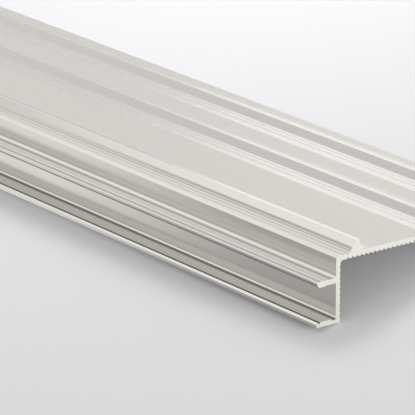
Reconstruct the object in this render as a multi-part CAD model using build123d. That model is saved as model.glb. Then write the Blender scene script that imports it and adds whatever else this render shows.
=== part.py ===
from build123d import *
import math
import os

# Stair nosing base profile: one aluminium extrusion, sawn to length.
# Millimetres. The section is sketched as it sits on a step: X runs back over
# the tread, Z is up, the web's front face is at X 0 and the nose top at Z 0.
# It is drawn from its walls, flanges, rib and channels, then grooved by
# patterns, run along Y and laid down as it rests on a level floor.

# Stock
stockLength = 1000.0

# Web that covers the top of the riser
webThick = 1.5
webHeight = 18.75
noseBevel = 0.7
noseRadius = 0.2
heelRadius = 0.4
cornerFillet = 0.8

# Tread plate
plateReach = 69.0
plateThick = 1.7
plateEdgeRadius = 0.3

# Flutes that key the adhesive, on the tread, under it and on the web's back
flutePitch = 1.5
fluteWidth = 0.8
fluteFloor = 0.3
treadFluteDepth = 0.06
treadFluteStart = 1.6
treadFluteEnd = 1.0
underFluteDepth = 0.35
underFluteStart = 2.6
underFluteEnd = 1.2
webFluteDepth = 0.2
webFluteStart = 1.7
webFluteEnd = 0.6

# Screw channels across the plate: a stepped dip, a rising face and a low crest
channelCount = 2
channelPitch = 21.0
channelEdgeLand = 4.27
dipSlope = 5.0
dipRuns = (2.85, 1.52, 1.19)
dipLanding = 0.78
riseRun = 4.04
crestRun = 2.17
crestRadius = 0.15

# Floor stop rib on the nose
ribFront = 5.1
ribThick = 2.9
ribHeight = 3.0
ribFrontHeight = 1.31
ribFrontLean = 0.15
ribCrestWidth = 1.5
ribCrestRadius = 0.3
ribBackDrop = 0.13
ribBackRadius = 0.15
ribSlopeRadius = 0.2
ribFootBead = 0.4
ribFootLean = 0.1
ribFootHeight = 0.62
ribFootRadius = 0.2
ribHeelRun = 2.4
ribHeelHeight = 0.45
ribHeelRadius = 0.2

# Grip grooves between the nose and the rib
noseGrooveCount = 2
noseGroovePitch = 1.64
noseGrooveSetback = 0.87
noseGrooveWidth = 0.65
noseGrooveFloor = 0.25
noseGrooveDepth = 0.2

# Middle flange, ridged on top, with a bulb under its tip
midDrop = 6.1
midThick = 1.5
midReach = 6.3
midRootRun = 0.68
midRootRise = 0.4
midRootRadius = 0.1
midUnderFillet = 0.25
tipFace = 0.75
tipRadius = 0.4
tipFaceRadius = 0.3
tipUndercut = 0.45
tipUndercutDrop = 0.65
tipBevel = 0.35
tipBevelRadius = 0.2
bulbLength = 2.8
bulbRun = 0.35
bulbDrop = 0.18
bulbRadius = 0.1
ridgeCount = 3
ridgePitch = 0.92
ridgeSetback = 1.9
ridgeWidth = 0.62
ridgeHeight = 0.2
ridgeRadius = 0.1

# Bottom flange, with a locking bead at the web and a sloped lip behind a groove
lowThick = 1.5
lowReach = 6.4
lipFace = 0.9
lipSlopeRun = 0.44
lipDrop = 0.08
lipTop = 0.1
lipRadius = 0.1
lipToeRadius = 0.3
lipGrooveWidth = 0.7
lipGrooveFloor = 0.6
lipGrooveDepth = 0.35
beadReach = 0.42
beadRise = 0.62
beadRadius = 0.07
beadGap = 0.15
beadGapDepth = 0.37
footGrooveReach = 1.3
footGrooveSlope = 0.1
footGrooveDepth = 0.35

# Levels and places that the sizes above give
midTop = -midDrop
midUnder = midTop - midThick
lowUnder = -webHeight
lowTop = lowUnder + lowThick
insideWeb = webThick / 2
insidePlate = -plateThick / 2
ribBack = ribFront + ribThick
channelRun = sum(dipRuns) + (len(dipRuns) - 1) * dipLanding + riseRun + crestRun
lastChannel = plateReach - channelEdgeLand - channelRun
channelStarts = [lastChannel - index * channelPitch for index in range(channelCount)]


def outline(*corners):
    # A face of the section from its corners, each as x, z and its radius.
    places = [(x, z) for x, z, radius in corners]
    radii = [radius for x, z, radius in corners]
    return make_face(FilletPolyline(*places, radius=radii, close=True))


def groove(width, floorWidth, depth):
    # A straight-sided groove that opens upwards at the origin, cut from above.
    half = width / 2
    flat = floorWidth / 2
    return outline(
        (half, depth, 0),
        (half, 0, 0),
        (flat, -depth, 0),
        (-flat, -depth, 0),
        (-half, 0, 0),
        (-half, depth, 0),
    )


def pattern(first, limit):
    # Places at flute pitch from the first up to the limit.
    count = math.floor((limit - first) / flutePitch) + 1
    return [first + index * flutePitch for index in range(count)]


def angle():
    # The web and the tread plate, which meet at the nose.
    return outline(
        (noseBevel, 0, noseRadius),
        (0, -noseBevel, noseRadius),
        (0, lowUnder, 0),
        (webThick, lowUnder, heelRadius),
        (webThick, -plateThick, cornerFillet),
        (plateReach, -plateThick, heelRadius),
        (plateReach, 0, plateEdgeRadius),
    )


def floorStop():
    # The rib that a floor covering butts against: a bead at its front foot,
    # a front that leans back and slopes up to the crest, an upright back and
    # a low heel.
    return outline(
        (ribBack + ribHeelRun, insidePlate, 0),
        (ribBack + ribHeelRun, 0, 0),
        (ribBack, ribHeelHeight, ribHeelRadius),
        (ribBack, ribHeight - ribBackDrop, ribBackRadius),
        (ribBack - ribCrestWidth, ribHeight, ribCrestRadius),
        (ribFront + ribFrontLean, ribFrontHeight, ribSlopeRadius),
        (ribFront, ribFootHeight, 0),
        (ribFront - ribFootBead + ribFootLean, ribFootHeight, ribFootRadius),
        (ribFront - ribFootBead, 0, 0),
        (ribFront - ribFootBead, insidePlate, 0),
    )


def middleFlange():
    # The ridged upper arm of the front channel.
    undercut = -midReach + tipUndercut
    bulbStart = -midReach + bulbLength
    arm = outline(
        (insideWeb, midTop + midRootRise, 0),
        (0, midTop + midRootRise, 0),
        (-midRootRun, midTop, midRootRadius),
        (-midReach, midTop, tipRadius),
        (-midReach, midTop - tipFace, tipFaceRadius),
        (undercut, midTop - tipFace - tipUndercutDrop, tipBevelRadius),
        (undercut + tipBevel, midUnder - bulbDrop, tipBevelRadius),
        (bulbStart, midUnder - bulbDrop, bulbRadius),
        (bulbStart + bulbRun, midUnder, bulbRadius),
        (insideWeb, midUnder, 0),
    )
    ridge = outline(
        (ridgeWidth / 2, 0, 0),
        (0, ridgeHeight, ridgeRadius),
        (-ridgeWidth / 2, 0, 0),
        (0, -ridgeHeight, 0),
    )
    for index in range(ridgeCount):
        arm += Pos(-midReach + ridgeSetback + index * ridgePitch, midTop) * ridge
    return arm


def bottomFlange():
    # The lower arm, with the bead that locks the trim and the slot under it.
    slotEnd = -beadReach + beadGapDepth
    lipTopEnd = -lowReach + lipSlopeRun
    grooveMiddle = lipTopEnd + lipTop + lipGrooveWidth / 2
    arm = outline(
        (insideWeb, lowTop, 0),
        (grooveMiddle, lowTop, 0),
        (grooveMiddle, lowTop - lipDrop, 0),
        (lipTopEnd, lowTop - lipDrop, lipRadius / 2),
        (-lowReach, lowUnder + lipFace, lipRadius),
        (-lowReach, lowUnder, lipToeRadius),
        (insideWeb, lowUnder, 0),
    )
    lipGroove = groove(lipGrooveWidth, lipGrooveFloor, lipGrooveDepth)
    arm -= Pos(grooveMiddle, lowTop) * lipGroove
    arm -= outline(
        (slotEnd, lowTop + beadGap, 0),
        (slotEnd, lowTop - footGrooveDepth, 0),
        (-footGrooveReach + footGrooveSlope, lowTop - footGrooveDepth, 0),
        (-footGrooveReach, lowTop, 0),
        (-footGrooveReach, lowTop + beadGap, 0),
    )
    bead = outline(
        (insideWeb, lowTop + beadRise, 0),
        (0, lowTop + beadRise, 0),
        (-beadReach, lowTop + beadGap, beadRadius),
        (slotEnd, lowTop + beadGap, 0),
        (slotEnd, lowTop - footGrooveDepth, 0),
        (insideWeb, lowTop - footGrooveDepth, 0),
    )
    return arm + bead


def screwChannel():
    # The dip to cut and the crest to add, from the channel's front end at X 0.
    fall = math.tan(math.radians(dipSlope))
    x = 0.0
    z = 0.0
    steps = [(x, z, 0)]
    for run in dipRuns:
        x += run
        z -= run * fall
        steps.append((x, z, 0))
        x += dipLanding
        steps.append((x, z, 0))
    bottom = x - dipLanding
    top = bottom + riseRun
    crestHeight = crestRun * fall
    dip = outline(*steps[:-1], (top, crestHeight, 0), (0, crestHeight, 0))
    crest = outline(
        (bottom, z, 0),
        (top, crestHeight, crestRadius),
        (top + crestRun, 0, 0),
        (top + crestRun, insidePlate, 0),
        (bottom, insidePlate, 0),
    )
    return dip, crest


def treadFlutes():
    # Flute places on the lands between the rib, the channels and the back edge,
    # all on one grid that starts behind the rib.
    gridStart = ribBack + ribHeelRun + treadFluteStart
    landEnds = sorted(channelStarts) + [plateReach - treadFluteEnd]
    landStarts = [gridStart] + [start + channelRun for start in sorted(channelStarts)]
    places = []
    for landStart, landEnd in zip(landStarts, landEnds):
        skipped = math.ceil((landStart - gridStart) / flutePitch)
        first = gridStart + (skipped + 0.5) * flutePitch
        places += pattern(first, landEnd - flutePitch / 2)
    return places


def rounded(face, *corners):
    # The face with a radius at its corners nearest to the given places.
    for x, z, radius in corners:
        nearest = face.vertices().sort_by_distance((x, z, 0))[0]
        face = fillet(nearest, radius)
    return face


# Walls, flanges, rib and channels
section = angle()
dip, crest = screwChannel()
for start in channelStarts:
    section = section - Pos(start, 0) * dip + Pos(start, 0) * crest
section += [floorStop(), middleFlange(), bottomFlange()]
section = rounded(
    section,
    (0, midTop + midRootRise, midRootRadius),
    (0, midUnder, midUnderFillet),
    (0, lowTop + beadRise, beadRadius),
)

# Groove patterns
noseGroove = groove(noseGrooveWidth, noseGrooveFloor, noseGrooveDepth)
lastNoseGroove = ribFront - ribFootBead - noseGrooveSetback
for index in range(noseGrooveCount):
    section -= Pos(lastNoseGroove - index * noseGroovePitch, 0) * noseGroove

treadFlute = groove(fluteWidth, fluteFloor, treadFluteDepth)
section -= [Pos(x, 0) * treadFlute for x in treadFlutes()]

underFlute = Rot(0, 0, 180) * groove(fluteWidth, fluteFloor, underFluteDepth)
underPlaces = pattern(webThick + underFluteStart, plateReach - underFluteEnd)
section -= [Pos(x, -plateThick) * underFlute for x in underPlaces]

webFlute = Rot(0, 0, -90) * groove(fluteWidth, fluteFloor, webFluteDepth)
webPlaces = pattern(lowUnder + webFluteStart, -plateThick - cornerFillet - webFluteEnd)
section -= [Pos(webThick, z) * webFlute for z in webPlaces]

# The bar, run along Y
profile = extrude(Plane.XZ * section, amount=stockLength, dir=(0, 1, 0)).solid()

# At rest the heel of the web and the plate's back edge touch the floor. Both
# have the same radius, so the floor runs parallel to the line of their centres.
restTilt = math.degrees(math.atan2(webHeight - plateThick, plateReach - webThick))
laid = profile.rotate(Axis.Y, restTilt)

# Origin at the middle of the footprint, on the floor
box = laid.bounding_box()
shift = Vector(-(box.min.X + box.max.X) / 2, -(box.min.Y + box.max.Y) / 2, -box.min.Z)
laid = laid.translate(shift)

print("channels start at", [round(start, 2) for start in channelStarts])
print("flutes on the tread", len(treadFlutes()), "under it", len(underPlaces), "on the web", len(webPlaces))
print("rest tilt", round(restTilt, 4))
print("section corner moved to", tuple(round(value, 4) for value in shift))

os.makedirs("parts", exist_ok=True)
export_step(laid, "parts/nosing_profile.step")
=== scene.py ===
import bpy
import math
import numpy as np
from mathutils import Matrix, Vector
from mathutils.geometry import delaunay_2d_cdt


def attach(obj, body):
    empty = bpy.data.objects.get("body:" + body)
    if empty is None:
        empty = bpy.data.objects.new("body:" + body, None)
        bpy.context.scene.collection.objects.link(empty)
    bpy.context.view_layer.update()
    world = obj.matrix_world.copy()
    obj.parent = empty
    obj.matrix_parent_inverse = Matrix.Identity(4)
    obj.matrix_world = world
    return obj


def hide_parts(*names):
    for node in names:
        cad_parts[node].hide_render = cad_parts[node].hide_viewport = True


# Stair nosing base profile, a satin anodised aluminium extrusion sawn to length.
# The frame's CAD node gives the place. This script gives the rolled-over edges,
# the finish, the floor, the studio light and the camera.

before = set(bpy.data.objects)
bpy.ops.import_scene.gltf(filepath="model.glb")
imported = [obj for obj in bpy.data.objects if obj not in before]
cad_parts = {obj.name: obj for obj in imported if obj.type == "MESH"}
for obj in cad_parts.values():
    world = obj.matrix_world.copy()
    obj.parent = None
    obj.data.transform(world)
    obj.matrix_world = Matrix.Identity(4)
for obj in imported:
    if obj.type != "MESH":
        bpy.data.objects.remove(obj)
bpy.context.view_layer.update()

perMetre = 1000              # millimetres

# The profile's sizes are in millimetres, in the section's own axes: x back over
# the tread, z up, the web's front at x 0 and the nose top at z 0.

profileSizes = {
    "length": 1000.0,
    "webThick": 1.5, "webHeight": 18.75, "noseBevel": 0.7, "noseRadius": 0.2,
    "heelRadius": 0.4, "cornerFillet": 0.8,
    "plateReach": 69.0, "plateThick": 1.7, "plateEdgeRadius": 0.3,
    # flutes on the tread, under it and on the web's back
    "flutePitch": 1.5, "fluteWidth": 0.8, "fluteFloor": 0.3,
    "treadFluteDepth": 0.06, "treadFluteStart": 1.6, "treadFluteEnd": 1.0,
    "underFluteDepth": 0.35, "underFluteStart": 2.6, "underFluteEnd": 1.2,
    "webFluteDepth": 0.2, "webFluteStart": 1.7, "webFluteEnd": 0.6,
    # screw channels across the tread
    "channelCount": 2, "channelPitch": 21.0, "channelEdgeLand": 4.27,
    "dipSlope": 5.0, "dipRuns": (2.85, 1.52, 1.19), "dipLanding": 0.78,
    "riseRun": 4.04, "crestRun": 2.17, "crestRadius": 0.15,
    # the rib that stops the floor covering
    "ribFront": 5.1, "ribThick": 2.9, "ribHeight": 3.0,
    "ribFrontHeight": 1.31, "ribFrontLean": 0.15, "ribSlopeRadius": 0.2,
    "ribCrestWidth": 1.5, "ribCrestRadius": 0.3, "ribBackDrop": 0.13, "ribBackRadius": 0.15,
    "ribFootBead": 0.4, "ribFootLean": 0.1, "ribFootHeight": 0.62, "ribFootRadius": 0.2,
    "ribFootFillet": 0.12,
    "ribHeelRun": 2.4, "ribHeelHeight": 0.45, "ribHeelRadius": 0.2,
    # grip grooves between the nose and the rib
    "noseGrooveCount": 2, "noseGroovePitch": 1.64, "noseGrooveSetback": 0.87,
    "noseGrooveWidth": 0.65, "noseGrooveFloor": 0.25, "noseGrooveDepth": 0.2,
    # the middle flange, ridged on top, with a bulb under its tip
    "midDrop": 6.1, "midThick": 1.5, "midReach": 6.3,
    "midRootRun": 0.68, "midRootRise": 0.4, "midRootRadius": 0.1, "midUnderFillet": 0.25,
    "tipFace": 0.75, "tipRadius": 0.4, "tipFaceRadius": 0.3,
    "tipUndercut": 0.45, "tipUndercutDrop": 0.65, "tipBevel": 0.35, "tipBevelRadius": 0.2,
    "bulbLength": 2.8, "bulbRun": 0.35, "bulbDrop": 0.18, "bulbRadius": 0.1,
    "ridgeCount": 3, "ridgePitch": 0.92, "ridgeSetback": 1.9,
    "ridgeWidth": 0.62, "ridgeHeight": 0.2, "ridgeRadius": 0.1,
    # the bottom flange, with its sloped lip and the locking bead over its slot
    "lowThick": 1.5, "lowReach": 6.4, "lipFace": 0.9, "lipSlopeRun": 0.44, "lipDrop": 0.08,
    "lipTop": 0.1, "lipRadius": 0.1, "lipToeRadius": 0.3,
    "lipGrooveWidth": 0.7, "lipGrooveFloor": 0.6, "lipGrooveDepth": 0.35,
    "beadReach": 0.42, "beadRise": 0.62, "beadRadius": 0.07, "beadGap": 0.15, "beadGapDepth": 0.37,
    "footGrooveReach": 1.3, "footGrooveSlope": 0.1, "footGrooveDepth": 0.35,
    # edges
    "softRadius": 0.05,      # every corner the die leaves sharp
    "softRoom": 0.45,        # the share of a short side that such a corner takes at most
    "arcSteps": 6,           # points on each rounded corner
    "endBreak": 0.04,        # the file's touch round the sawn ends
    "treadMargin": 0.01,     # how far behind the rib the tread's finish starts
    # painted shade: how darkly each corner's metal is painted for the shade in slots, grooves, creases and
    # under overhangs, from 0 for none to 1
    "paintedShade": {
        "rootRise": 0.12, "rootToe": 0.36, "ridgeFoot": 0.79, "outerRidgeFoot": 0.42,
        "tipFace": 0.3, "tipBevel": 0.56,
        "beadUnder": 0.7, "slot": 0.82, "footGrooveEdge": 0.55,
        "lipGrooveEdge": 0.49, "lipGrooveFloor": 1, "lipEdge": 0.3,
        "ribFootTop": 0.55, "ribFootFront": 0.66, "noseGroove": 0.84,
    },
    "webPaintedShade": ((2.4, 0), (3.9, 0.55), (4.6, 0.42)),    # how far down the web's front, and its share of painted shade, darkening where the web mirrors the flange
    "ribFootMark": 0.62,     # where the painted shade on the rib's foot is darkest, as a share of its height
}


def groove(centre, width, floorWidth, depth):
    # four corners of a straight-sided groove, high side first
    half, flat = width / 2, floorWidth / 2
    return [(centre + half, 0.0), (centre + flat, -depth), (centre - flat, -depth), (centre - half, 0.0)]


def evenPlaces(first, limit, pitch):
    # as many places at one pitch as fit up to the limit
    return first + pitch * np.arange(math.floor((limit - first) / pitch) + 1)


def middleFlangeCorners(size):
    # out along the ridged top, round the tip and back under the bulb
    # held gives the painted shade at the flange's root, between its ridges and under its tip
    held = size["paintedShade"]
    top, reach = -size["midDrop"], size["midReach"]
    under = top - size["midThick"]
    undercut, bulb = -reach + size["tipUndercut"], -reach + size["bulbLength"]
    faceEnd = top - size["tipFace"]
    bulbUnder = under - size["bulbDrop"]
    corners = [(0, top + size["midRootRise"], size["midRootRadius"], held["rootRise"]),
               (-size["midRootRun"], top, size["midRootRadius"], held["rootToe"])]
    for k in range(size["ridgeCount"])[::-1]:
        middle, half = -reach + size["ridgeSetback"] + k * size["ridgePitch"], size["ridgeWidth"] / 2
        outerFoot = held["outerRidgeFoot"] if k == 0 else held["ridgeFoot"]
        corners += [(middle + half, top, 0, held["ridgeFoot"]),
                    (middle, top + size["ridgeHeight"], size["ridgeRadius"]),
                    (middle - half, top, 0, outerFoot)]
    return corners + [(-reach, top, size["tipRadius"]),
                      (-reach, faceEnd, size["tipFaceRadius"], held["tipFace"]),
                      (undercut, faceEnd - size["tipUndercutDrop"], size["tipBevelRadius"], held["tipBevel"]),
                      (undercut + size["tipBevel"], bulbUnder, size["tipBevelRadius"], held["tipBevel"]),
                      (bulb, bulbUnder, size["bulbRadius"]),
                      (bulb + size["bulbRun"], under, size["bulbRadius"]),
                      (0, under, size["midUnderFillet"])]


def bottomFlangeCorners(size):
    # the locking bead over its slot, the flange's top, the groove and the sloped lip
    # held gives the painted shade under the bead, in its slot and in the lip's groove
    held = size["paintedShade"]
    under = -size["webHeight"]
    top, reach = under + size["lowThick"], size["lowReach"]
    slotEnd, slotFloor = -size["beadReach"] + size["beadGapDepth"], top - size["footGrooveDepth"]
    beadUnder = top + size["beadGap"]
    lipTopEnd = -reach + size["lipSlopeRun"]
    inner = lipTopEnd + size["lipTop"]
    outer = inner + size["lipGrooveWidth"]
    slope = (size["lipGrooveWidth"] - size["lipGrooveFloor"]) / 2
    grooveFloor = top - size["lipGrooveDepth"]
    lipEdge = inner + slope * size["lipDrop"] / size["lipGrooveDepth"]
    return [(0, top + size["beadRise"], size["beadRadius"]),
            (-size["beadReach"], beadUnder, size["beadRadius"]),
            (slotEnd, beadUnder, 0, held["beadUnder"]),
            (slotEnd, slotFloor, 0, held["slot"]),
            (-size["footGrooveReach"] + size["footGrooveSlope"], slotFloor, 0, held["slot"]),
            (-size["footGrooveReach"], top, 0, held["footGrooveEdge"]),
            (outer, top, 0, held["lipGrooveEdge"]),
            (outer - slope, grooveFloor, 0, held["lipGrooveFloor"]),
            (inner + slope, grooveFloor, 0, held["lipGrooveFloor"]),
            (lipEdge, top - size["lipDrop"], 0, held["lipEdge"]),
            (lipTopEnd, top - size["lipDrop"], size["lipRadius"] / 2),
            (-reach, under + size["lipFace"], size["lipRadius"]),
            (-reach, under, size["lipToeRadius"])]


def frontCorners(size):
    # the nose's bevel, the web's front with the two flanges, and its heel
    bevel = size["noseBevel"]
    corners = [(bevel, 0, size["noseRadius"]), (0, -bevel, size["noseRadius"])]
    # painted shade down the web's front, darker where it mirrors the bright middle flange
    corners += [(0, -drop, 0, share) for drop, share in size["webPaintedShade"]]
    corners += middleFlangeCorners(size) + bottomFlangeCorners(size)
    return corners + [(size["webThick"], -size["webHeight"], size["heelRadius"])]


def backCorners(size):
    # up the web's fluted back, out under the fluted plate and round its back edge
    plateUnder = -size["plateThick"]
    width, floorWidth, pitch = size["fluteWidth"], size["fluteFloor"], size["flutePitch"]
    corners = []
    webEnd = plateUnder - size["cornerFillet"] - size["webFluteEnd"]
    for middle in evenPlaces(-size["webHeight"] + size["webFluteStart"], webEnd, pitch):
        valley = groove(middle, width, floorWidth, size["webFluteDepth"])[::-1]
        corners += [(size["webThick"] + rise, z, 0) for z, rise in valley]
    corners.append((size["webThick"], plateUnder, size["cornerFillet"]))
    underEnd = size["plateReach"] - size["underFluteEnd"]
    for middle in evenPlaces(size["webThick"] + size["underFluteStart"], underEnd, pitch):
        valley = groove(middle, width, floorWidth, size["underFluteDepth"])[::-1]
        corners += [(x, plateUnder - rise, 0) for x, rise in valley]
    return corners + [(size["plateReach"], plateUnder, size["heelRadius"]),
                      (size["plateReach"], 0, size["plateEdgeRadius"])]


def channelRun(size):
    # from the start of a screw channel to the end of its crest
    dips = sum(size["dipRuns"]) + (len(size["dipRuns"]) - 1) * size["dipLanding"]
    return dips + size["riseRun"] + size["crestRun"]


def channelCorners(size, start):
    # a stepped dip falling backwards, a rising face and a low crest, back end first
    fall = math.tan(math.radians(size["dipSlope"]))
    x, z = start, 0.0
    corners = [(x, z, 0)]
    for run in size["dipRuns"]:
        x, z = x + run, z - run * fall
        corners += [(x, z, 0), (x + size["dipLanding"], z, 0)]
        x += size["dipLanding"]
    top = x - size["dipLanding"] + size["riseRun"]
    crest = [(top, size["crestRun"] * fall, size["crestRadius"]), (top + size["crestRun"], 0, 0)]
    return (corners[:-1] + crest)[::-1]


def treadCorners(size):
    # along the tread's top, back edge first: the channels, and flutes on the
    # lands between them, all on one grid that starts behind the rib
    run, pitch = channelRun(size), size["flutePitch"]
    last = size["plateReach"] - size["channelEdgeLand"] - run
    starts = [last - k * size["channelPitch"] for k in range(size["channelCount"])][::-1]
    grid = size["ribFront"] + size["ribThick"] + size["ribHeelRun"] + size["treadFluteStart"]
    landStarts = [grid] + [start + run for start in starts]
    landEnds = starts + [size["plateReach"] - size["treadFluteEnd"]]
    groups = [channelCorners(size, start) for start in starts]
    for landStart, landEnd in zip(landStarts, landEnds):
        first = grid + (math.ceil((landStart - grid) / pitch) + 0.5) * pitch
        for middle in evenPlaces(first, landEnd - pitch / 2, pitch):
            valley = groove(middle, size["fluteWidth"], size["fluteFloor"], size["treadFluteDepth"])
            groups.append([(x, z, 0, 0, 1) for x, z in valley])
    groups.sort(key=lambda group: -group[0][0])
    return [corner for group in groups for corner in group]


def ribCorners(size):
    # the rib from its heel up the back, over the crest and down to the bead at its foot
    # held gives the painted shade in the crease at the rib's foot
    held = size["paintedShade"]
    front, back = size["ribFront"], size["ribFront"] + size["ribThick"]
    foot, lean, height = front - size["ribFootBead"], size["ribFootLean"], size["ribFootHeight"]
    mark = size["ribFootMark"]
    return [(back + size["ribHeelRun"], 0, 0),
            (back, size["ribHeelHeight"], size["ribHeelRadius"]),
            (back, size["ribHeight"] - size["ribBackDrop"], size["ribBackRadius"]),
            (back - size["ribCrestWidth"], size["ribHeight"], size["ribCrestRadius"]),
            (front + size["ribFrontLean"], size["ribFrontHeight"], size["ribSlopeRadius"]),
            (front, height, 0, held["ribFootTop"]),
            (foot + lean, height, size["ribFootRadius"]),
            (foot + lean * mark, height * mark, 0, held["ribFootFront"]),
            (foot, 0, size["ribFootFillet"])]


def noseGrooveCorners(size):
    # the grip grooves, from the rib's foot forwards
    foot = size["ribFront"] - size["ribFootBead"]
    corners = []
    for k in range(size["noseGrooveCount"]):
        middle = foot - size["noseGrooveSetback"] - k * size["noseGroovePitch"]
        valley = groove(middle, size["noseGrooveWidth"], size["noseGrooveFloor"], size["noseGrooveDepth"])
        # the grooves' floors get painted shade
        corners += [(x, z, 0, size["paintedShade"]["noseGroove"] if z < 0 else 0) for x, z in valley]
    return corners


def sectionCorners(size):
    # once round the section, from the nose corner down the front, with a row for each corner: x, z, radius,
    # its share of painted shade and a 1 on the fluted lands
    corners = frontCorners(size) + backCorners(size) + treadCorners(size)
    corners += ribCorners(size) + noseGrooveCorners(size)
    return np.array([(*corner, 0, 0)[:5] for corner in corners], float)


def roundedSection(size):
    # Each corner becomes an arc between the sides before and after it. Its centre lies on their bisector at
    # radius over the sine of half the corner's angle, and its normal turns evenly from one side's normal to
    # the other's. A corner on a flat only marks its painted shade, and its points are spread along the flat.
    corners = sectionCorners(size)
    place, radius = corners[:, :2], np.maximum(corners[:, 2], size["softRadius"])
    before, after = np.roll(place, 1, 0) - place, np.roll(place, -1, 0) - place
    lengthBefore, lengthAfter = np.linalg.norm(before, axis=1), np.linalg.norm(after, axis=1)
    before, after = before / lengthBefore[:, None], after / lengthAfter[:, None]
    half = np.arccos(np.clip((before * after).sum(1), -1, 1)) / 2
    room = size["softRoom"] * np.minimum(lengthBefore, lengthAfter) * np.tan(half)
    radius = np.where(corners[:, 2] > 0, radius, np.minimum(radius, room))
    bisector = before + after
    bend = np.linalg.norm(bisector, axis=1)
    leastBend = 1e-6
    onFlat = bend < leastBend
    radius = np.where(onFlat, 0, radius)
    bisector /= np.maximum(bend, leastBend)[:, None]
    centre = place + bisector * (radius / np.sin(half))[:, None]
    normalIn = np.stack([-before[:, 1], before[:, 0]], 1)     # to the right of the way round, so outwards
    normalOut = np.stack([after[:, 1], -after[:, 0]], 1)
    turn = np.arctan2(normalIn[:, 0] * normalOut[:, 1] - normalIn[:, 1] * normalOut[:, 0],
                      (normalIn * normalOut).sum(1))
    start = np.arctan2(normalIn[:, 1], normalIn[:, 0])
    share = np.linspace(0, 1, size["arcSteps"])
    angle = start[:, None] + turn[:, None] * share
    normal = np.stack([np.cos(angle), np.sin(angle)], -1)
    side = np.where(turn > 0, 1.0, -1.0)
    points = centre[:, None, :] + normal * (radius * side)[:, None, None]
    spread = after[:, None, :] * (share[:, None] - 0.5) * 2 * size["softRadius"]
    points = np.where(onFlat[:, None, None], place[:, None, :] + spread, points)
    return points.reshape(-1, 2), normal.reshape(-1, 2), np.repeat(corners[:, 3:], size["arcSteps"], 0)


def sectionPlace(size):
    # How the section's axes lie in the frame: turned about Y until the heel and the
    # plate's back edge are level, then moved over the origin. The turn is the angle
    # whose tangent is the web's height below the plate over the plate's reach past it.
    tilt = math.atan2(size["webHeight"] - size["plateThick"], size["plateReach"] - size["webThick"])
    turned = Matrix.Rotation(tilt, 4, "Y")
    points = roundedSection(size)[0]
    axes = np.array(turned.to_3x3())
    flat = points[:, :1] * axes[[0, 2], 0] + points[:, 1:] * axes[[0, 2], 2]
    low, high = flat.min(0), flat.max(0)
    shift = Vector((-(low[0] + high[0]) / 2, 0, -low[1]))
    return tilt, Matrix.Translation(shift) @ turned


def profileRings(size, points, normals):
    # The section at four places along Y. At both ends it shrinks against its
    # normals by endBreak, and endBreak further in it has its full size.
    half, filed = size["length"] / 2, size["endBreak"]
    along = np.array([-half, -half + filed, half - filed, half])
    inset = np.array([filed, 0, 0, filed])
    section = points[None] - normals[None] * inset[:, None, None]
    depth = np.broadcast_to(along[:, None], section.shape[:2])
    return np.stack([section[..., 0], depth, section[..., 1]], -1)


def sideFaces(ringCount, pointCount):
    # four-sided faces between each ring and the next, facing outwards
    ring, point = np.meshgrid(np.arange(ringCount - 1), np.arange(pointCount), indexing="ij")
    nextPoint = (point + 1) % pointCount
    near, far = ring * pointCount, (ring + 1) * pointCount
    return np.stack([near + point, far + point, far + nextPoint, near + nextPoint], -1).reshape(-1, 4)


def endFaces(outline):
    # the end ring's own outline, filled with triangles
    loop, insideOnly, closeness = [list(range(len(outline)))], 1, 1e-7
    return np.array(delaunay_2d_cdt([Vector(p) for p in outline], [], loop, insideOnly, closeness)[2])


def faceCornerNormals(normals, endCornerCount):
    # The true normal at every corner of every face, so that flats stay flat beside
    # the arcs. The three bands of side faces lean towards -Y, run level and lean
    # towards +Y, and the sawn faces look straight along Y.
    bands = []
    for lean in (-1.0, 0.0, 1.0):
        band = np.stack([normals[:, 0], np.full(len(normals), lean), normals[:, 1]], 1)
        band /= np.linalg.norm(band, axis=1)[:, None]
        following = np.roll(band, -1, 0)
        bands.append(np.stack([band, band, following, following], 1).reshape(-1, 3))
    for lean in (-1.0, 1.0):
        bands.append(np.tile([0.0, lean, 0.0], (endCornerCount, 1)))
    return np.concatenate(bands)


def buildProfile(size):
    # The section carried along Y through its rings, with the sawn faces last. Its points hold the painted
    # shade, and mark the fluted lands and the whole tread.
    points, normals, marks = roundedSection(size)
    place = np.array(sectionPlace(size)[1])
    turned, shift = place[:3, :3], place[:3, 3]
    rings = profileRings(size, points, normals)
    verts = (rings.reshape(-1, 3) @ turned.T + shift) / perMetre
    ends = endFaces(rings[0][:, [0, 2]])
    farRing = (len(rings) - 1) * len(points)
    faces = sideFaces(*rings.shape[:2]).tolist() + ends.tolist() + (ends[:, ::-1] + farRing).tolist()
    mesh = bpy.data.meshes.new("nosingProfile")
    mesh.from_pydata(verts, [], faces)
    mesh.update()
    behindRib = points[:, 0] > size["ribFront"] + size["ribThick"] + size["treadMargin"]
    onTread = behindRib & (points[:, 1] > -size["plateThick"] / 2)
    # the painted shade, the fluted lands and the tread go to the mesh as point attributes
    for name, values in (("paintedShade", marks[:, 0]), ("land", marks[:, 1]), ("tread", onTread)):
        held = mesh.attributes.new(name, "FLOAT", "POINT")
        held.data.foreach_set("value", np.tile(values, len(rings)).astype(np.float32))
    mesh.shade_smooth()
    mesh.normals_split_custom_set((faceCornerNormals(normals, ends.size) @ turned.T).astype(np.float32))
    piece = bpy.data.objects.new("profileBody", mesh)
    bpy.context.scene.collection.objects.link(piece)
    return piece, 2 * len(ends)


# Shader helpers

noiseMiddle = 0.5            # a noise node's values lie about this


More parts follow.
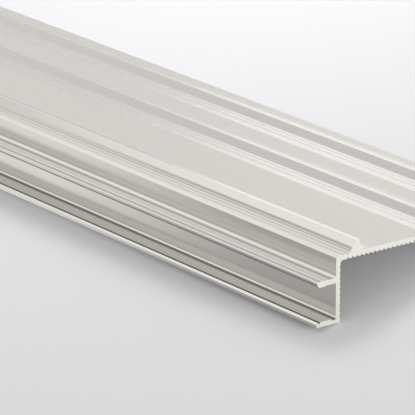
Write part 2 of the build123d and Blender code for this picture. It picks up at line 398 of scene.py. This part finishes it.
class Wire:
    # a node's output that adds, subtracts, multiplies and raises as Math nodes
    def __init__(self, kit, socket):
        self.kit, self.socket = kit, socket

    def _math(self, operation, first, second):
        return self.kit.node("ShaderNodeMath", {"operation": operation}, {0: first, 1: second})

    def __add__(self, other):
        return self._math("ADD", self, other)

    def __radd__(self, other):
        return self._math("ADD", other, self)

    def __sub__(self, other):
        return self._math("SUBTRACT", self, other)

    def __rsub__(self, other):
        return self._math("SUBTRACT", other, self)

    def __mul__(self, other):
        return self._math("MULTIPLY", self, other)

    def __rmul__(self, other):
        return self._math("MULTIPLY", other, self)

    def __pow__(self, other):
        return self._math("POWER", self, other)

    def __rpow__(self, other):
        return self._math("POWER", other, self)


class Kit:
    # one material's nodes
    def __init__(self, name):
        self.material = bpy.data.materials.new(name)
        self.material.use_nodes = True
        self.tree = self.material.node_tree
        self.shader = self.tree.nodes["Principled BSDF"]

    def node(self, kind, settings=None, inputs=None, output=0):
        # a node of one kind: its settings first, then a value or a link for each socket
        made = self.tree.nodes.new(kind)
        for name, value in (settings or {}).items():
            setattr(made, name, value)
        for name, value in (inputs or {}).items():
            self.put(made.inputs[name], value)
        return Wire(self, made.outputs[output])

    def put(self, socket, value):
        # a link where the value is a wire, and otherwise the value itself
        if isinstance(value, Wire):
            self.tree.links.new(value.socket, socket)
        else:
            socket.default_value = value

    def mix(self, share, first, second):
        # from the first colour to the second, through a Mix node's colour sockets
        return self.node("ShaderNodeMix", {"data_type": "RGBA"}, {0: share, 6: first, 7: second}, output=2)

    def mark(self, name):
        # a number that the mesh holds at each point
        return self.node("ShaderNodeAttribute", {"attribute_name": name}, output="Fac")

    def surface(self, **values):
        # a value or a link for each of the shader's own sockets
        for name, value in values.items():
            self.put(self.shader.inputs[name.replace("_", " ")], value)


# The profile's finishes

skin = {
    "colour": (0.915, 0.90, 0.870, 1),
    "streakColour": (0.893, 0.878, 0.848, 1),
    "landColour": (0.985, 0.960, 0.925, 1),      # on the fluted lands
    # the colour of the painted shade
    "paintedShadeColour": (0.30, 0.29, 0.275, 1),
    "streakShare": 0.6, "streakCloud": 0.1,      # how the die lines and the etch bring in the streaks
    "landShare": 0.9,                            # how fully the lands take their colour
    "paintedShadeShare": 0.85, "paintedShadeCloud": 0.2,       # how fully the painted shade darkens the metal, and what the etch's cloud adds to it
    "paintedShadeFall": 2.2,         # how fast the painted shade fades away from a corner that holds it
    "metallic": 1.0, "roughness": 0.19,
    "treadDull": 0.08,        # how much rougher the tread is
    "landDull": 0.11,         # and the fluted lands on it
    "paintedShadeDull": 0.15,        # and where shade is painted
    "lineSwing": 0.05,        # how far the die lines and the etch swing the roughness
    "cloudSwing": 0.02,
    "dieLines": 2600.0,       # per metre across the section
    "dieDrift": 1.2,          # per metre along it
    "lineDetail": 3.0, "lineGrit": 0.6,          # the noise's octaves, and how strong its fine ones are
    "cloudScale": 38.0, "cloudDetail": 4.0, "cloudGrit": 0.55,
    "dieBump": 0.03,
    "dieDepth": 0.00002,      # metres
}


def makeSkin(look):
    # satin anodised: fine lines drawn along the length by the die, faint cloudy etch, and painted shade
    # darkening the metal in its slots, grooves, creases and under its overhangs
    kit = Kit("anodisedSkin")
    place = kit.node("ShaderNodeTexCoord", output="Object")
    drawn = (look["dieLines"], look["dieDrift"], look["dieLines"])
    lines = kit.node("ShaderNodeMapping", inputs={"Vector": place, "Scale": drawn})
    fine = kit.node("ShaderNodeTexNoise", inputs={
        "Vector": lines, "Scale": 1.0, "Detail": look["lineDetail"], "Roughness": look["lineGrit"]})
    cloud = kit.node("ShaderNodeTexNoise", inputs={
        "Vector": place, "Scale": look["cloudScale"],
        "Detail": look["cloudDetail"], "Roughness": look["cloudGrit"]})
    # the painted shade each corner holds, fading between the corners
    tread, land, paintedShade = kit.mark("tread"), kit.mark("land"), kit.mark("paintedShade") ** look["paintedShadeFall"]
    streaks = fine * look["streakShare"] + cloud * look["streakCloud"]
    metal = kit.mix(streaks, look["colour"], look["streakColour"])
    metal = kit.mix(land * look["landShare"], metal, look["landColour"])
    # the metal darkened towards the painted shade's colour
    paintedShadeMetal = kit.mix(paintedShade * (cloud * look["paintedShadeCloud"] + look["paintedShadeShare"]), metal, look["paintedShadeColour"])
    swing = (fine - noiseMiddle) * look["lineSwing"] + (cloud - noiseMiddle) * look["cloudSwing"]
    rough = swing + look["roughness"] + tread * look["treadDull"] + land * look["landDull"]
    bump = kit.node("ShaderNodeBump", inputs={
        "Strength": look["dieBump"], "Distance": look["dieDepth"], "Height": fine})
    # rougher where shade is painted
    rough = rough + paintedShade * look["paintedShadeDull"]
    kit.surface(Base_Color=paintedShadeMetal, Metallic=look["metallic"], Roughness=rough, Normal=bump)
    return kit.material


sawn = {
    "colour": (0.85, 0.83, 0.765, 1), "arcColour": (0.92, 0.905, 0.848, 1),
    "arcShare": 0.35, "grainShare": 0.3,         # how the blade's arcs and the grain bring it in
    "metallic": 0.45, "roughness": 0.55,
    "arcDull": 0.1,                              # how much rougher the arcs' crests are
    "arcsFrom": (0.05, 0.5, 0.175),              # metres, from the middle of the arcs' sphere to the origin
    "arcStep": 0.0006,                           # metres from crest to hollow, straight out from that middle
    "waveSteps": 6.28,                           # about as many such steps in one unit of the wave node
    "waver": 1.5, "waverDetail": 2.0, "waverScale": 3.0,
    "grainScale": 2500.0, "grainDetail": 3.0,
    "bump": 0.25, "bumpDepth": 0.00003, "bumpArcs": 0.6, "bumpGrain": 0.4,
}


def makeSawn(look):
    # Raw metal with the blade's shallow arcs across the end. They are where the end
    # cuts evenly spaced spheres, the same at both ends, as the Mapping node drops Y.
    kit = Kit("sawnEnd")
    place = kit.node("ShaderNodeTexCoord", output="Object")
    moved = kit.node("ShaderNodeMapping", inputs={
        "Vector": place, "Location": look["arcsFrom"], "Scale": (1, 0, 1)})
    arcs = kit.node("ShaderNodeTexWave", {"wave_type": "RINGS", "rings_direction": "SPHERICAL"}, {
        "Vector": moved, "Scale": 1 / look["arcStep"] / look["waveSteps"],
        "Distortion": look["waver"], "Detail": look["waverDetail"], "Detail Scale": look["waverScale"]})
    grain = kit.node("ShaderNodeTexNoise", inputs={
        "Vector": place, "Scale": look["grainScale"], "Detail": look["grainDetail"]})
    share = arcs * look["arcShare"] + grain * look["grainShare"]
    metal = kit.mix(share, look["colour"], look["arcColour"])
    height = arcs * look["bumpArcs"] + grain * look["bumpGrain"]
    bump = kit.node("ShaderNodeBump", inputs={
        "Strength": look["bump"], "Distance": look["bumpDepth"], "Height": height})
    rough = arcs * look["arcDull"] + look["roughness"]
    kit.surface(Base_Color=metal, Metallic=look["metallic"], Roughness=rough, Normal=bump)
    return kit.material


body, sawnFaces = buildProfile(profileSizes)
body.data.materials.append(makeSkin(skin))
body.data.materials.append(makeSawn(sawn))
slots = np.zeros(len(body.data.polygons), np.int32)
slots[-sawnFaces:] = 1
body.data.polygons.foreach_set("material_index", slots)
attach(body, "root")
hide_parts("nosing_profile")
print("profile built,", len(body.data.polygons), "faces")

# The floor

floorLook = {
    "side": 8.0,              # metres
    "colour": (0.775, 0.787, 0.815, 1), "roughness": 0.7, "gloss": 0.0,
}


def makeFloor(look):
    # a plain pale matt sheet
    half = look["side"] / 2
    corners = [(-half, -half, 0), (half, -half, 0), (half, half, 0), (-half, half, 0)]
    mesh = bpy.data.meshes.new("studioFloor")
    mesh.from_pydata(corners, [], [(0, 1, 2, 3)])
    floor = bpy.data.objects.new("studioFloor", mesh)
    bpy.context.scene.collection.objects.link(floor)
    kit = Kit("paleFloor")
    kit.surface(Base_Color=look["colour"], Roughness=look["roughness"], Specular_IOR_Level=look["gloss"])
    mesh.materials.append(kit.material)
    return floor


floor = makeFloor(floorLook)

# The bounce card before the profile

bounceCard = {
    "low": (-0.42, -0.72), "high": (-0.036, -0.08), "height": 0.0006, "wallTop": 0.08,    # metres
    "dim": 0.364, "bright": 0.767,       # light given off by its near and far parts
    "turnFrom": -0.40, "turnTo": -0.27,  # where it turns from dim to bright, metres along Y
    "lean": 1.26, "leanFrom": 0.10,      # how far that line leans for each metre across, and from where
    "tint": (1.0, 0.986, 0.966),
}


def makeBounceCard(card):
    # A card lying before the profile with a low upright part at the far edge of
    # it, seen only by the mirroring metal: darker by the near end and brighter
    # along the length, from turnFrom to turnTo on a line that leans across.
    (x0, y0), (x1, y1) = card["low"], card["high"]
    level, top = card["height"], card["wallTop"]
    corners = [(x0, y0, level), (x1, y0, level), (x1, y1, level), (x0, y1, level),
               (x1, y1, top), (x0, y1, top)]
    mesh = bpy.data.meshes.new("bounceCard")
    mesh.from_pydata(corners, [], [(0, 1, 2, 3), (3, 2, 4, 5)])
    piece = bpy.data.objects.new("bounceCard", mesh)
    bpy.context.scene.collection.objects.link(piece)
    kit = Kit("bounceGlow")
    place = kit.node("ShaderNodeTexCoord", output="Object")
    x = kit.node("ShaderNodeSeparateXYZ", inputs={0: place}, output=0)
    y = kit.node("ShaderNodeSeparateXYZ", inputs={0: place}, output=1)
    share = kit.node("ShaderNodeMapRange", {"interpolation_type": "SMOOTHSTEP"}, {
        "Value": y + (x + card["leanFrom"]) * card["lean"],
        "From Min": card["turnFrom"], "From Max": card["turnTo"],
        "To Min": card["dim"], "To Max": card["bright"]})
    glow = kit.node("ShaderNodeCombineXYZ", inputs={i: share * card["tint"][i] for i in range(3)})
    kit.surface(Base_Color=(0, 0, 0, 1), Roughness=1.0, Specular_IOR_Level=0.0,
               Emission_Color=glow, Emission_Strength=1.0)
    mesh.materials.append(kit.material)
    piece.visible_camera = piece.visible_diffuse = piece.visible_shadow = piece.visible_transmission = False
    return piece


makeBounceCard(bounceCard)
print("floor and bounce card made")

# The camera, as the photograph was taken: the profile's near end at the right,
# looking along and down over it

photoView = {
    "size": 415.0,               # the photograph's width and height in pixels
    "focal": 3762.0,             # in pixels
    "elevation": 18.17,          # degrees below level, against the section's own level
    "heading": 36.86,            # degrees from the length towards the tread
    "nosePixel": (336.2, 257.5), # the near end's nose corner
    "noseDrop": -0.5,            # that corner's height in the section, mm
    "mmPerPixel": 0.26,          # at that corner
    "sensor": 36.0,              # mm
    "clip": (0.05, 60.0),        # metres
}


def makeCamera(view, place, sizes):
    # The eye lies back from the nose corner by the depth at which a pixel spans
    # mmPerPixel, and aside by the corner's pixel, so that it shows at that pixel.
    down, heading = math.radians(view["elevation"]), math.radians(view["heading"])
    level = math.cos(down)
    forward = Vector((math.sin(heading) * level, math.cos(heading) * level, -math.sin(down)))
    right = Vector((math.cos(heading), -math.sin(heading), 0))
    up = right.cross(forward)
    depth = view["focal"] * view["mmPerPixel"]
    acrossRight = (view["nosePixel"][0] - view["size"] / 2) / view["focal"] * depth
    acrossUp = -(view["nosePixel"][1] - view["size"] / 2) / view["focal"] * depth
    corner = Vector((0, -sizes["length"] / 2, view["noseDrop"]))
    eye = corner - forward * depth - right * acrossRight - up * acrossUp
    turned = place.to_3x3()
    axes = Matrix((turned @ right, turned @ up, -(turned @ forward))).transposed()
    lens = bpy.data.cameras.new("camera")
    lens.sensor_width = view["sensor"]
    lens.lens = view["focal"] * view["sensor"] / view["size"]
    lens.clip_start, lens.clip_end = view["clip"]
    camera = bpy.data.objects.new("camera", lens)
    bpy.context.scene.collection.objects.link(camera)
    camera.matrix_world = Matrix.Translation((place @ eye) / perMetre) @ axes.to_4x4()
    bpy.context.scene.camera = camera


tilt, place = sectionPlace(profileSizes)
makeCamera(photoView, place, profileSizes)
print("camera placed, tilt", round(math.degrees(tilt), 3))

# Studio light

studio = {
    "tint": (1.0, 0.986, 0.966),      # all the light is a little warm
    "worldStrength": 0.547,
    "mirrorOnly": ("backLow", "backWall"),                # seen in the metal, not lighting the floor
    "mattOnly": ("endFill", "floorBack", "floorFar"),     # lighting matt surfaces, not seen in the metal
    "panels": {
        # name: place in metres, where it faces, size across and up, watts
        "backLow": ((0.95, 0.20, 0.06), (0.0, -0.5, 0.02), (0.7, 0.13), 0.19),
        "backWall": ((0.95, 0.95, 0.35), (0.0, -0.42, 0.02), (1.6, 0.26), 0.36),
        "endFill": ((0.1, -2.2, 0.5), (0.0, -0.48, 0.01), (1.2, 0.6), 20.5),
        "ribSoft": ((0.25, 0.75, 0.95), (0.0, -0.42, 0.02), (0.8, 0.6), 0.56),
        "noseSoft": ((-0.33, 0.42, 0.72), (0.0, -0.42, 0.02), (0.45, 0.32), 0.156),
        "floorBack": ((0.17, -0.26, 0.30), (0.15, -0.28, 0.0), (0.2, 0.2), 0.54),
        "floorFar": ((0.55, 0.25, 0.70), (0.55, 0.25, 0.0), (0.7, 0.7), 2.0),
    },
}


def makeWorld(light):
    # an even soft light from all around
    world = bpy.data.worlds.new("studioWorld")
    bpy.context.scene.world = world
    world.use_nodes = True
    background = world.node_tree.nodes["Background"]
    background.inputs["Color"].default_value = (*light["tint"], 1)
    background.inputs["Strength"].default_value = light["worldStrength"]


def makePanels(light):
    # soft boxes, each turned from its place towards what it lights
    for name, (where, towards, size, watts) in light["panels"].items():
        lamp = bpy.data.lights.new(name, "AREA")
        lamp.shape = "RECTANGLE"
        lamp.size, lamp.size_y = size
        lamp.energy, lamp.color = watts, light["tint"]
        panel = bpy.data.objects.new(name, lamp)
        bpy.context.scene.collection.objects.link(panel)
        panel.location = where
        panel.rotation_mode = "QUATERNION"
        panel.rotation_quaternion = (Vector(towards) - Vector(where)).to_track_quat("-Z", "Y")
        panel.visible_camera = False
        panel.visible_diffuse = name not in light["mirrorOnly"]
        panel.visible_glossy = name not in light["mattOnly"]


makeWorld(studio)
makePanels(studio)
bpy.context.scene.view_settings.view_transform = "Standard"
print("light set,", len(studio["panels"]), "panels")
